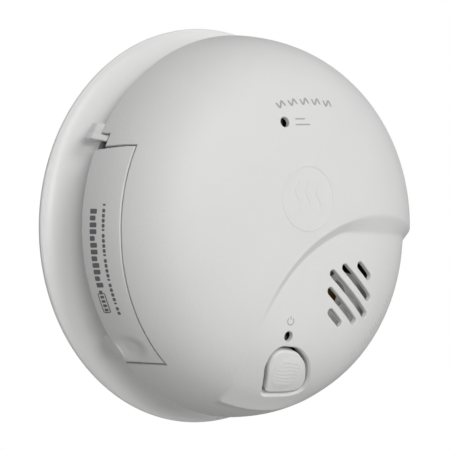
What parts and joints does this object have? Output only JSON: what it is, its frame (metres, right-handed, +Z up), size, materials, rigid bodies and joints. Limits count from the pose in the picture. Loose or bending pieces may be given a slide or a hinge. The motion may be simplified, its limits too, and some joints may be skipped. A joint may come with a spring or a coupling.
{
  "type": "smoke and carbon monoxide alarm",
  "caption": "Round wall-mounted smoke and carbon monoxide alarm with a domed cover, sunk side panel, sounder grille, test button, battery drawer and twist-off bracket.",
  "frame": {"origin": "middle of the mounting bracket's flat back, where it meets the wall", "axes": "+Y into the wall, so the domed front faces -Y; +Z up as the alarm hangs; +X to the right seen from the front"},
  "size_m": [0.1414, 0.0633, 0.1414],
  "materials": {
    "smooth_white_plastic": "satin moulded white",
    "grained_white_plastic": "fine moulded grain",
    "housing_plastic": "plain moulded",
    "board_laminate": "green solder mask",
    "black_plastic": "matt black moulded",
    "steel": "plated",
    "clear_epoxy": "clear resin",
    "filter_membrane": "white porous membrane",
    "horn_plastic": "light grey moulded",
    "brass": "rolled sheet",
    "ceramic": "silvered ceramic",
    "switch_plastic": "moulded",
    "lamp_resin": "cast resin",
    "light_pipe_acrylic": "polished acrylic",
    "connector_nylon": "natural nylon",
    "capacitor_case": "moulded box",
    "capacitor_sleeve": "shrink sleeve",
    "copper_winding": "enamelled copper",
    "varistor_coating": "dipped epoxy",
    "chip_ceramic": "ceramic chips",
    "cell_sleeve": "printed shrink sleeve"
  },
  "bodies": {
    "bracket": {"mounting_bracket": "smooth_white_plastic"},
    "alarm": {"rear_housing": "housing_plastic", "front_cover": "grained_white_plastic", "circuit_board": "board_laminate", "smoke_chamber_base": "black_plastic", "smoke_chamber_cap": "black_plastic", "insect_screen": "steel", "infrared_emitter": "clear_epoxy", "photodiode": "black_plastic", "co_sensor_can": "steel", "co_sensor_filter": "filter_membrane", "sounder_horn": "horn_plastic", "piezo_disc": "brass", "piezo_ceramic": "ceramic", "sounder_contacts": "steel", "test_switch": "black_plastic", "button_spring": "steel", "alarm_led": "lamp_resin", "alarm_light_pipe": "light_pipe_acrylic", "power_led": "lamp_resin", "power_light_pipe": "light_pipe_acrylic", "ac_inlet_housing": "connector_nylon", "ac_inlet_pins": "steel", "film_capacitor": "capacitor_case", "electrolytic_capacitors": "capacitor_sleeve", "microcontroller": "black_plastic", "line_choke": "copper_winding", "varistor": "varistor_coating", "chip_parts": "chip_ceramic", "housing_screws": "steel", "board_screws": "steel", "drawer_hinge_pin": "steel", "slide_switch": "black_plastic"},
    "button": {"test_button": "grained_white_plastic", "switch_plunger": "switch_plastic"},
    "drawer": {"battery_drawer": "grained_white_plastic", "battery_cell": "cell_sleeve", "battery_contacts": "steel"},
    "slider": {"activation_slider": "smooth_white_plastic", "slide_switch_knob": "switch_plastic"}
  },
  "joints": [
    {"name": "alarm_twist", "type": "hinge", "parent": "bracket", "child": "alarm", "pos_m": [0, 0, 0], "axis": [0, -1, 0], "range_deg": [0, 18]},
    {"name": "test_press", "type": "slide", "parent": "alarm", "child": "button", "axis": [0, 1, 0], "range_m": [0, 0.0012], "stiffness_N_per_m": 1500, "springref_m": -0.0006, "deforming": ["button_spring"]},
    {"name": "drawer_swing", "type": "hinge", "parent": "alarm", "child": "drawer", "pos_m": [-0.05897, -0.0268, 0.0178], "axis": [0, 1, 0], "range_deg": [0, 60]},
    {"name": "activation_slide", "type": "slide", "parent": "alarm", "child": "slider", "axis": [-0.4524, 0, -0.8918], "range_m": [0, 0.002]}
  ]
}
